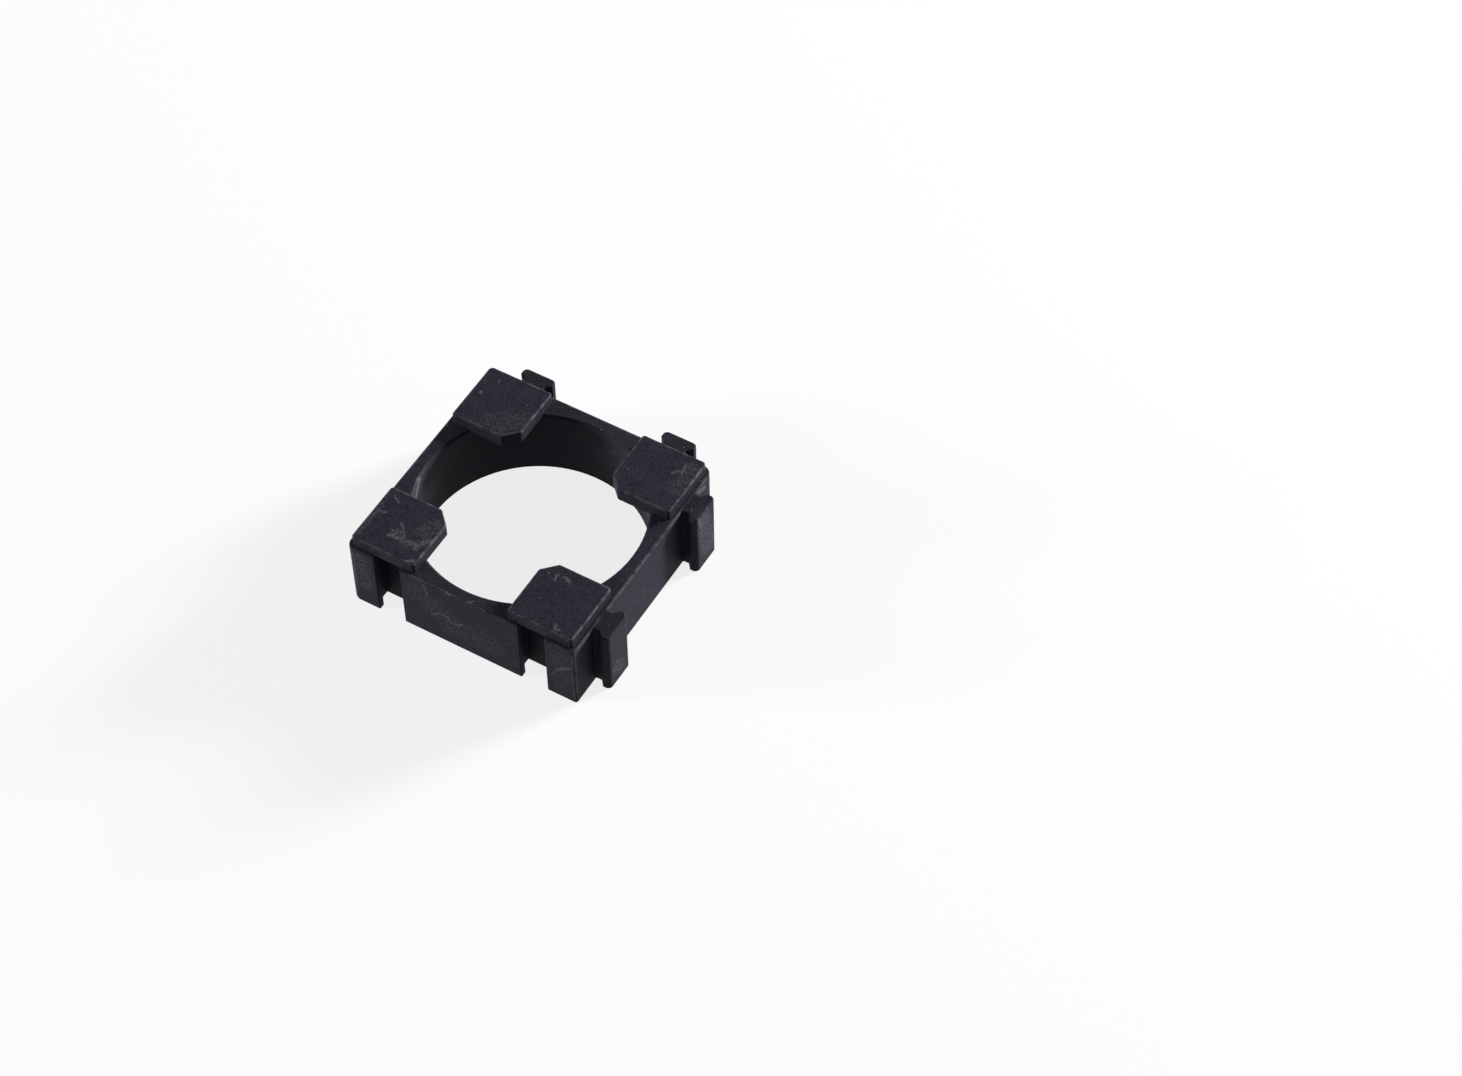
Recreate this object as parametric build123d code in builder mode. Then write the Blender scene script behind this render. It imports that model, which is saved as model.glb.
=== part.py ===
"""Single-cell holder bracket: one moulded ring that joins its neighbours on all four sides.

Frame: millimetres, +Z up. The origin is on the bore axis, at the flat underside.
The cell enters from below and stops against the underside of the four corner lips.
Tongues stand on the +X and +Y walls; the matching slots are cut in the -X and -Y walls.
"""
import os

from build123d import *

os.makedirs("parts", exist_ok=True)

# ---- body ----
BORE_DIAMETER = 18.4     # an 18 mm class cell, its sleeve and a sliding clearance
SIDE_WALL = 1.1          # the ring at its thinnest, in the middle of each side
BODY_HEIGHT = 6.25       # underside to the open top of the ring
CORNER_RADIUS = 0.85     # three of the upright outer corners
SHARP_RADIUS = 0.22      # the +X -Y corner, body and lip, is nearly square
EDGE_RADIUS = 0.12       # broken edges around the wall tops

# ---- corner lips ----
LIP_THICKNESS = 1.15
LIP_DROP = 0.2           # a lip's underside and the end of the bore wall, below the body top
LIP_SIZE = 5.76          # each lip is about as wide as it is deep
LIP_SETBACK = 0.36       # ledge between a body wall and the lip above it
LIP_CHAMFER = 1.15       # cut corner of each lip over the bore
LIP_CORNER_RADIUS = 0.38
LIP_END_RADIUS = 0.26    # the corners of a lip other than its outer one
LIP_EDGE_RADIUS = 0.11   # softened top edge

# ---- joining tongues and slots ----
JOIN_INSET = 3.8         # tongue and slot centres, from the nearest body corner
NECK_WIDTH = 2.0
HEAD_WIDTH = 2.95
NECK_LENGTH = 0.5
SHOULDER_LENGTH = 0.4    # slanted part between neck and head
REACH = 1.55             # tongue length outside the wall
HEAD_RADIUS = 0.4
ROOT_WEB = 0.08          # small web where a neck meets its wall
JOIN_CLEARANCE = 0.15    # all round a tongue in its slot

# ---- worked out from the values above ----
width = BORE_DIAMETER + 2 * SIDE_WALL
half_width = width / 2
lip_centre = half_width - LIP_SETBACK - LIP_SIZE / 2
join_offset = half_width - JOIN_INSET
shoulder_end = NECK_LENGTH + SHOULDER_LENGTH
neck_x = NECK_WIDTH / 2
head_x = HEAD_WIDTH / 2
mouth_x = neck_x + JOIN_CLEARANCE
back_x = head_x + JOIN_CLEARANCE
slot_depth = REACH + JOIN_CLEARANCE
diagonal = Axis((0, 0, 0), (1, -1, 0))

# tongue outline: the wall line is y = 0, the tongue points along +Y and is rooted in the wall
with BuildSketch() as tongue:
    with BuildLine():
        Polyline(
            (0, -ROOT_WEB),
            (neck_x + ROOT_WEB, -ROOT_WEB),
            (neck_x + ROOT_WEB, 0),
            (neck_x, ROOT_WEB),
            (neck_x, NECK_LENGTH),
            (head_x, shoulder_end),
            (head_x, REACH),
            (0, REACH),
            close=True,
        )
    make_face()
    fillet(vertices().sort_by_distance((head_x, REACH, 0))[0], HEAD_RADIUS)
    mirror(about=Plane.YZ)

# slot outline: the wall line is y = 0, the slot runs inward along +Y
with BuildSketch() as slot:
    with BuildLine():
        Polyline(
            (0, -ROOT_WEB),
            (mouth_x + ROOT_WEB, -ROOT_WEB),
            (mouth_x + ROOT_WEB, 0),
            (mouth_x, ROOT_WEB),
            (mouth_x, NECK_LENGTH),
            (back_x, shoulder_end),
            (back_x, slot_depth),
            (0, slot_depth),
            close=True,
        )
    make_face()
    fillet(vertices().sort_by_distance((back_x, slot_depth, 0))[0], ROOT_WEB)
    mirror(about=Plane.YZ)

with BuildSketch() as all_slots:
    for turn in (0, -90):
        with Locations(Location((0, 0, 0), (0, 0, turn))):
            with Locations((-join_offset, -half_width), (join_offset, -half_width)):
                add(slot.sketch)

with BuildPart() as cell_bracket:
    # one plan outline carries the walls, the bore, the tongues and the slots
    with BuildSketch():
        Rectangle(width, width)
        fillet(vertices().sort_by(diagonal)[:3], CORNER_RADIUS)
        fillet(vertices().sort_by(diagonal)[-1], SHARP_RADIUS)
        Circle(BORE_DIAMETER / 2, mode=Mode.SUBTRACT)
        for turn in (0, -90):
            with Locations(Location((0, 0, 0), (0, 0, turn))):
                with Locations((-join_offset, half_width), (join_offset, half_width)):
                    add(tongue.sketch)
        add(all_slots.sketch, mode=Mode.SUBTRACT)
    extrude(amount=BODY_HEIGHT)
    bore_edges = edges().filter_by(GeomType.CIRCLE).sort_by(SortBy.RADIUS)[-2:]
    chamfer(bore_edges.sort_by(Axis.Z)[-1], LIP_DROP)
    wall_top = faces().filter_by(Axis.Z).sort_by(Axis.Z)[-1]
    fillet(wall_top.outer_wire().edges(), EDGE_RADIUS)

    # four lips over the corners, each reaching a little way over the bore
    with BuildSketch(Plane.XY.offset(BODY_HEIGHT - LIP_DROP)):
        with GridLocations(2 * lip_centre, 2 * lip_centre, 2, 2):
            Rectangle(LIP_SIZE, LIP_SIZE)
        chamfer(vertices().sort_by_distance((0, 0, 0))[:4], LIP_CHAMFER)
        outer_corners = vertices().sort_by_distance((0, 0, 0))[-4:]
        fillet(outer_corners.sort_by(diagonal)[:3], LIP_CORNER_RADIUS)
        fillet(vertices().sort_by(diagonal)[-1], SHARP_RADIUS)
        fillet(vertices().sort_by_distance((0, 0, 0))[:16], LIP_END_RADIUS)
    extrude(amount=LIP_THICKNESS)
    fillet(edges().group_by(Axis.Z)[-1], LIP_EDGE_RADIUS)

    # the slots stay clear to the top of the body, where the lips close them
    add(all_slots.sketch)
    extrude(amount=BODY_HEIGHT, mode=Mode.SUBTRACT)

cell_bracket.part.label = "cell_bracket"
export_step(cell_bracket.part, "parts/cell_bracket.step")
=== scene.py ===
"""A single-cell battery holder bracket in black moulded plastic, lit softly on a white table.

Metres, +Z up, in the frame of the CAD: the origin is on the bore's axis at the flat underside,
and +X and +Y are the two sides that carry the joining tongues. Inside the plastic's material
positions are in millimetres, the unit in which its grain, worn edges with their painted highlight,
and scratches are given.
"""

import math

import bpy
from mathutils import Matrix, Quaternion, Vector


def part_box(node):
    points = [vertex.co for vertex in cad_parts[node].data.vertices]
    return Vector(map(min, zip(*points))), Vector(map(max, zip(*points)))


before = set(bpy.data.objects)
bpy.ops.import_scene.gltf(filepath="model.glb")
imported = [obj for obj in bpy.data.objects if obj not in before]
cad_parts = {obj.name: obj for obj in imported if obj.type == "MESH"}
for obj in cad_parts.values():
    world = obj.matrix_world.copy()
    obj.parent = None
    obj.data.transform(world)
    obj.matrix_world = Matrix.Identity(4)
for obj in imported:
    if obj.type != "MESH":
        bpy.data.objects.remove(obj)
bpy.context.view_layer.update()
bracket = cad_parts["cell_bracket"]

# sizes of the bracket, in millimetres
MM_PER_METRE = 1000
LOW, HIGH = (corner * MM_PER_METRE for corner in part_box("cell_bracket"))
BODY_HALF = -LOW.x
LIP_TOP = HIGH.z
TONGUE_END = HIGH.x
BODY_TOP = 6.25
LIP_SETBACK = 0.36
LIP_HALF = 2.88
LIP_CHAMFER = 1.15
LIP_CENTRE = BODY_HALF - LIP_SETBACK - LIP_HALF


# ---- shader maths ------------------------------------------------------------------------------


def plug(target, value):
    """Sets a node's input to a number, a colour, a vector or another node's output."""
    if isinstance(value, Value):
        target.id_data.links.new(value.socket, target)
    else:
        target.default_value = value


class Value:
    """A node's output; Python's operators on numbers add the Math nodes."""

    def __init__(self, paint, socket):
        self.paint, self.socket = paint, socket

    def _maths(self, operation, *inputs):
        settings = {"operation": operation}
        return self.paint.node("ShaderNodeMath", settings, dict(enumerate(inputs)))

    def __add__(self, other):
        return self._maths("ADD", self, other)

    def __sub__(self, other):
        return self._maths("SUBTRACT", self, other)

    def __rsub__(self, other):
        return self._maths("SUBTRACT", other, self)

    def __mul__(self, other):
        return self._maths("MULTIPLY", self, other)

    def __abs__(self):
        return self._maths("ABSOLUTE", self)

    __radd__, __rmul__ = __add__, __mul__

    def at_least(self, other):
        return self._maths("MAXIMUM", self, other)

    def at_most(self, other):
        return self._maths("MINIMUM", self, other)

    def clamped(self):
        return self.at_least(0.0).at_most(1.0)

    def ramp(self, start, end):
        """Rises smoothly from 0 at start to 1 at end; start may be the larger."""
        return self.paint.node(
            "ShaderNodeMapRange",
            {"interpolation_type": "SMOOTHSTEP", "clamp": False},
            {"Value": self, "From Min": start, "From Max": end},
        )

    def band(self, low, high, soft):
        """1 between low and high, fading to 0 over soft on either side."""
        return self.ramp(low - soft, low) * self.ramp(high + soft, high)


class Paint:
    """The node tree of one material, or of the world."""

    def __init__(self, owner):
        owner.use_nodes = True
        self.owner, self.tree = owner, owner.node_tree
        self.tree.nodes.clear()

    def node(self, kind, settings=None, inputs=None, output=0):
        """Adds any node and returns one of its outputs, or several for a tuple of names."""
        node = self.tree.nodes.new(kind)
        for name, value in (settings or {}).items():
            setattr(node, name, value)
        for name, value in (inputs or {}).items():
            plug(node.inputs[name], value)
        if isinstance(output, tuple):
            return [Value(self, node.outputs[name]) for name in output]
        return Value(self, node.outputs[output]) if node.outputs else None

    def vector(self, operation, first, second):
        """Vector maths of two vectors; a dot product or a distance comes back as a number."""
        output = "Value" if operation in ("DOT_PRODUCT", "DISTANCE") else "Vector"
        return self.node(
            "ShaderNodeVectorMath", {"operation": operation}, {0: first, 1: second}, output
        )

    def scaled(self, vector, factor):
        return self.node(
            "ShaderNodeVectorMath", {"operation": "SCALE"}, {0: vector, "Scale": factor}
        )

    def parts(self, vector):
        """The x, y and z of a vector."""
        return self.node("ShaderNodeSeparateXYZ", inputs={0: vector}, output=("X", "Y", "Z"))

    def noise(self, where, size, detail, roughness=0.6, output="Fac"):
        """Smooth noise around 0.5 whose grains are about size across."""
        return self.node(
            "ShaderNodeTexNoise",
            inputs={
                "Vector": where,
                "Scale": 1 / size,
                "Detail": detail,
                "Roughness": roughness,
            },
            output=output,
        )

    def mix(self, factor, first, second):
        """Blends two colours."""
        return self.node(
            "ShaderNodeMix", {"data_type": "RGBA"}, {0: factor, 6: first, 7: second}, output=2
        )

    def stroke(self, where, points, width):
        """1 along a run of points, fading to 0 half a width to either side."""
        mask = None
        for start, end in zip(points, points[1:]):
            start, run = Vector(start), Vector(end) - Vector(start)
            offset = self.vector("SUBTRACT", where, start)
            along = self.vector("DOT_PRODUCT", offset, run / run.length_squared).clamped()
            nearest = self.scaled(run, along)
            touch = self.vector("DISTANCE", offset, nearest).ramp(width / 2, width / 5)
            mask = mask.at_least(touch) if mask else touch
        return mask

    def strongest(self, where, marks):
        """The strongest of a table of strokes at each place, from 0 to 1."""
        result = None
        for strength, width, points in marks.values():
            mark = strength * self.stroke(where, points, width)
            result = result.at_least(mark) if result else mark
        return result


# ---- where handling has marked the plastic, and two painted highlights ---------------------------


def on_lips(*places):
    return [(x, y, LIP_TOP) for x, y in places]


def on_wall_top(*places):
    return [(x, y, BODY_TOP) for x, y in places]


def on_front_wall(*places):
    """Points on the -Y wall and its posts, by x and z."""
    return [(x, -BODY_HALF, z) for x, z in places]


def on_right_wall(*places):
    """Points on the +X wall, by y and z."""
    return [(BODY_HALF, y, z) for y, z in places]


def on_right_tongues(*places):
    """Points on the end faces of the +X tongues, by y and z."""
    return [(TONGUE_END, y, z) for y, z in places]


# Each mark has how strong it is, how wide, and the run of points it follows, in millimetres. The
# lips at -X -Y, -X +Y, +X +Y and +X -Y are called the left, back, right and front one.
SCUFFS_AND_HIGHLIGHTS = {
    "left_lip_star_upright": (0.7, 0.26, on_lips((-7.3, -6.8), (-6.85, -7.3), (-6.35, -7.9))),
    "left_lip_star_base": (0.9, 0.4, on_lips((-7.5, -8.3), (-7.0, -8.3), (-6.35, -8.1))),
    "left_lip_streak": (
        0.75,
        0.3,
        on_lips((-5.9, -8.15), (-5.1, -8.1), (-4.7, -7.7), (-4.3, -7.2)),
    ),
    "left_lip_streak_tail": (0.7, 0.3, on_lips((-5.15, -8.1), (-5.0, -8.5))),
    "left_lip_blot": (0.7, 0.34, on_lips((-9.5, -6.7), (-8.95, -6.6))),
    "left_lip_scratch": (0.65, 0.26, on_lips((-9.2, -4.85), (-8.6, -5.35))),
    "left_lip_corner_fleck": (0.9, 0.42, on_lips((-4.95, -9.75), (-4.45, -9.5))),
    "front_wall_scratch": (
        1.0,
        0.3,
        on_front_wall(
            (-2.55, 2.7), (-1.85, 3.3), (-1.2, 3.25), (-0.9, 2.8), (-0.25, 2.75), (0.15, 3.15)
        ),
    ),
    "front_wall_streak": (0.7, 0.34, on_front_wall((-3.15, 6.0), (-2.9, 5.3), (-2.85, 4.8))),
    "wall_top_nick": (1.0, 0.34, on_wall_top((-1.15, -10.2), (-0.75, -10.2))),
    "wall_top_second_nick": (0.8, 0.26, on_wall_top((0.8, -10.1), (1.1, -9.9))),
    "front_lip_scratch": (0.8, 0.34, on_lips((5.7, -5.1), (5.8, -5.65))),
    "front_lip_blot": (0.8, 0.44, on_lips((6.4, -5.1), (6.85, -5.3))),
    "front_lip_hook": (0.7, 0.28, on_lips((8.1, -9.15), (8.2, -9.5), (8.6, -9.5))),
    "front_post_smear": (0.9, 0.38, on_front_wall((8.8, 3.3), (9.4, 3.85), (9.9, 4.2))),
    "front_post_scratch": (0.6, 0.26, on_front_wall((8.05, 2.05), (8.75, 3.2))),
    "right_lip_ring": (
        0.7,
        0.3,
        on_lips((8.1, 7.7), (8.45, 8.15), (8.7, 8.05), (8.75, 8.45), (8.6, 9.0)),
    ),
    "back_lip_chip": (1.0, 0.3, on_lips((-9.2, 7.25), (-9.1, 7.15))),
    "back_lip_scratch": (0.6, 0.26, on_lips((-8.55, 8.95), (-8.45, 8.65))),
    # painted highlights: light from the key near the top of a +X tongue's end and on the +X wall by
    # the back corner
    "right_tongue_painted_highlight": (0.9, 0.6, on_right_tongues((5.4, 6.0), (5.8, 5.2))),
    "right_corner_painted_highlight": (0.9, 0.7, on_right_wall((8.0, 5.9), (8.9, 5.4))),
    # a paler patch high on the bore's left wall
    "bore_pale_patch": (0.8, 0.9, [(-8.95, -1.9, 6.0), (-8.8, -2.7, 5.4), (-8.5, -3.4, 4.9)]),
}

# dusty bloom, given the same way: broad, and broken into fine specks
BLOOM = {
    "left_lip_star": (0.9, 1.3, on_lips((-7.1, -7.9), (-6.7, -7.9))),
    "left_lip_streak": (0.75, 1.0, on_lips((-6.2, -8.3), (-5.2, -8.1), (-4.5, -7.4))),
    "left_lip_side": (0.5, 0.9, on_lips((-9.7, -9.2), (-9.7, -6.2))),
    "left_lip_nose": (0.4, 2.0, on_lips((-5.2, -6.6), (-4.8, -5.9))),
    "back_lip_nose": (0.25, 2.8, on_lips((-6.6, 5.2), (-4.6, 6.4))),
    "right_lip_side": (0.35, 1.8, on_lips((9.3, 8.8), (9.2, 6.6))),
    "right_tongue_face": (0.7, 2.8, on_right_tongues((6.0, 5.2), (6.8, 1.6))),
    "front_tongue_foot": (0.5, 1.8, on_right_tongues((-6.9, 1.9), (-6.3, 1.2))),
    "left_post": (0.6, 2.6, on_front_wall((-9.2, 5.2), (-9.0, 2.6))),
    "front_wall": (0.3, 3.6, on_front_wall((-3.6, 4.4), (-0.6, 2.4), (2.6, 2.4))),
    "front_post": (0.2, 3.0, on_front_wall((9.2, 4.6), (9.2, 2.0))),
}


def worn_and_glinting_edges(x, y, z, facing_y):
    """How paled a place is, partly by wear and partly by a painted highlight along the edges: 1 on
    the lips' top edges, less on the walls' and the sharp corner.

    The level lines are faint on faces that look to -Y, as painted shade where edges turn away from
    the key light. Each distance is in from the edge.
    """
    across, along = abs(abs(x) - LIP_CENTRE), abs(abs(y) - LIP_CENTRE)
    lip_side = across.at_least(along).ramp(LIP_HALF - 0.2, LIP_HALF - 0.08)
    cut_corner = 2 * (LIP_CENTRE - LIP_HALF) + LIP_CHAMFER
    lip_nose = (abs(x) + abs(y)).ramp(cut_corner + 0.24, cut_corner + 0.1)
    lips = lip_side.at_least(lip_nose) * z.ramp(LIP_TOP - 0.2, LIP_TOP - 0.09)

    line, soft = 0.16, 0.05
    outside = abs(x).at_least(abs(y)).band(BODY_HALF - line, BODY_HALF, soft)
    walls = outside * z.band(BODY_TOP - line, BODY_TOP, soft)
    # painted shade: edge lines on faces turned to -Y, away from the key light, are kept faint
    level = lips.at_least(0.6 * walls) * (0.25 + 0.75 * facing_y.ramp(-0.5, -0.1))

    # painted highlight: a glint down the sharp upright corner at +X -Y
    upright = (x - y).ramp(2 * BODY_HALF - 0.3, 2 * BODY_HALF - 0.17)
    return level.at_least(0.7 * upright)


# ---- moulded black plastic ---------------------------------------------------------------------

BLACK = (0.0095, 0.0080, 0.0140, 1)
BLACK_WORN = (0.0330, 0.0282, 0.0420, 1)
# pale colour of scuffs and worn edges, also used for the painted highlights along edges and on the
# +X tongue and wall
PALE_WEAR_AND_GLINT = (0.100, 0.088, 0.108, 1)
DUST = (0.17, 0.16, 0.17, 1)


def black_plastic():
    """Matt black with a violet cast: fine grain, cloudy tone, edges paled by wear and by a painted
    highlight, scuffs with two painted highlights among them, and dust.
    """
    paint = Paint(bpy.data.materials.new("moulded_black_plastic"))
    position, normal = paint.node("ShaderNodeNewGeometry", output=("Position", "Normal"))
    where = paint.scaled(position, MM_PER_METRE)
    x, y, z = paint.parts(where)
    facing_y = paint.parts(normal)[1]

    grain = paint.noise(where, size=0.11, detail=2)
    pits = paint.noise(where, size=0.32, detail=2)
    patches = paint.noise(where, size=0.7, detail=3)
    clouds = paint.noise(where, size=2.4, detail=4, roughness=0.62)

    # marks are drawn on a slightly shaken position, so that their outlines are ragged
    shake = paint.noise(where, size=0.3, detail=3, roughness=0.5, output="Color")
    shake = paint.scaled(paint.vector("SUBTRACT", shake, (0.5, 0.5, 0.5)), 0.35)
    shaken = paint.vector("ADD", where, shake)
    # scuffs, with the two painted highlights on the +X tongue and wall among them
    scuffs_and_highlights = paint.strongest(shaken, SCUFFS_AND_HIGHLIGHTS) * grain.ramp(0.24, 0.5)
    bloom = paint.strongest(shaken, BLOOM) * grain.ramp(0.44, 0.56)
    # edge wear together with a painted highlight along the edges, broken up in patches
    edge_wear_and_glint = worn_and_glinting_edges(x, y, z, facing_y) * (0.2 + 0.8 * patches.ramp(0.42, 0.58))

    # points lie about 0.75 mm apart, and a speck shows where the surface passes close by one
    cell = {"Vector": where, "Scale": 1 / 0.75}
    distance, chance = paint.node(
        "ShaderNodeTexVoronoi", inputs=cell, output=("Distance", "Color")
    )
    dust = (0.03 + 0.09 * chance - distance).ramp(0.0, 0.012)

    tone = 0.5 + (clouds - 0.5) * 0.7 + (patches - 0.5) * 0.6 + (grain - 0.5) * 3.6
    colour = paint.mix(tone.clamped(), BLACK, BLACK_WORN)
    colour = paint.mix(scuffs_and_highlights.at_least(edge_wear_and_glint).at_least(bloom), colour, PALE_WEAR_AND_GLINT)
    colour = paint.mix(dust * 0.8, colour, DUST)

    relief = grain + 0.8 * pits + 0.3 * clouds + 0.4 * scuffs_and_highlights
    bump = paint.node(
        "ShaderNodeBump", inputs={"Strength": 0.5, "Distance": 1e-5, "Height": relief}
    )
    shader = paint.node(
        "ShaderNodeBsdfPrincipled",
        inputs={
            "Base Color": colour,
            "Roughness": 0.5 + 0.1 * (clouds + patches) - 0.08 * edge_wear_and_glint,
            "Specular IOR Level": 0.07,
            "Normal": bump,
        },
    )
    paint.node("ShaderNodeOutputMaterial", inputs={"Surface": shader})
    return paint.owner


bracket.data.materials.clear()
bracket.data.materials.append(black_plastic())


# ---- table, light and camera -------------------------------------------------------------------

WHITE = (1, 1, 1, 1)
TABLE_HALF = 0.9
LAMP_SIZE, LAMP_DISTANCE = 0.12, 0.6


def add_object(name, data):
    thing = bpy.data.objects.new(name, data)
    bpy.context.scene.collection.objects.link(thing)
    return thing


def direction(azimuth, elevation):
    """The unit vector that points so many degrees from +X towards +Y, and so many up."""
    turn, rise = math.radians(azimuth), math.radians(elevation)
    return Vector(
        (math.cos(turn) * math.cos(rise), math.sin(turn) * math.cos(rise), math.sin(rise))
    )


def looked_at(paint):
    """1 where the eye, a mirror or glass sees a surface, 0 where only its light is gathered."""
    kinds = ("Is Camera Ray", "Is Glossy Ray", "Is Transmission Ray")
    camera, glossy, transmission = paint.node("ShaderNodeLightPath", output=kinds)
    return camera.at_least(glossy).at_least(transmission)


def white_table():
    """A wide white top; it is seen mostly by its own glow, so that only a soft shadow shows."""
    paint = Paint(bpy.data.materials.new("white_table"))
    matt = paint.node("ShaderNodeBsdfDiffuse", inputs={"Color": (0.30, 0.29, 0.30, 1)})
    lit = paint.node("ShaderNodeBsdfDiffuse", inputs={"Color": (0.97, 0.96, 0.97, 1)})
    glow = paint.node("ShaderNodeEmission", inputs={"Color": WHITE})
    seen = paint.node("ShaderNodeMixShader", inputs={0: 0.82, 1: lit, 2: glow})
    surface = paint.node("ShaderNodeMixShader", inputs={0: looked_at(paint), 1: matt, 2: seen})
    paint.node("ShaderNodeOutputMaterial", inputs={"Surface": surface})

    mesh = bpy.data.meshes.new("table")
    sides = ((-1, -1), (1, -1), (1, 1), (-1, 1))
    corners = [(TABLE_HALF * x, TABLE_HALF * y, 0) for x, y in sides]
    mesh.from_pydata(corners, [], [(0, 1, 2, 3)])
    mesh.materials.append(paint.owner)
    table = add_object("table", mesh)


def white_room(level):
    """Even white light all round; seen straight on or in a reflection it is pure white."""
    paint = Paint(bpy.data.worlds.new("white_room"))
    dim = paint.node("ShaderNodeBackground", inputs={"Color": WHITE, "Strength": level})
    bright = paint.node("ShaderNodeBackground", inputs={"Color": WHITE})
    room = paint.node("ShaderNodeMixShader", inputs={0: looked_at(paint), 1: dim, 2: bright})
    paint.node("ShaderNodeOutputWorld", inputs={"Surface": room})
    bpy.context.scene.world = paint.owner


def softbox(name, azimuth, elevation, power):
    """A square soft light aimed at the bracket."""
    light = bpy.data.lights.new(name, "AREA")
    light.shape, light.size, light.energy = "SQUARE", LAMP_SIZE, power
    towards = direction(azimuth, elevation)
    lamp = add_object(name, light)
    lamp.location = towards * LAMP_DISTANCE
    lamp.rotation_euler = (-towards).to_track_quat("-Z", "Y").to_euler()


def camera(aim, azimuth, elevation, roll, distance):
    """A long lens that looks at the aim; the angles are in degrees, the roll anticlockwise."""
    lens = bpy.data.cameras.new("camera")
    lens.lens, lens.sensor_width = 87.07, 36.0
    lens.clip_start, lens.clip_end = 0.01, 10
    back = direction(azimuth, elevation)
    turn = back.to_track_quat("Z", "Y") @ Quaternion((0, 0, 1), math.radians(roll))
    body = add_object("camera", lens)
    body.matrix_world = Matrix.LocRotScale(Vector(aim) + back * distance, turn, None)
    bpy.context.scene.camera = body


white_table()
white_room(0.09)
softbox("key", azimuth=59, elevation=16.5, power=7.7)
softbox("fill_left", azimuth=214, elevation=14, power=3.1)
camera((0.01239, 0.00933, 0), azimuth=-59.19, elevation=51.86, roll=-0.65, distance=0.2785)
bpy.context.scene.view_settings.view_transform = "Standard"
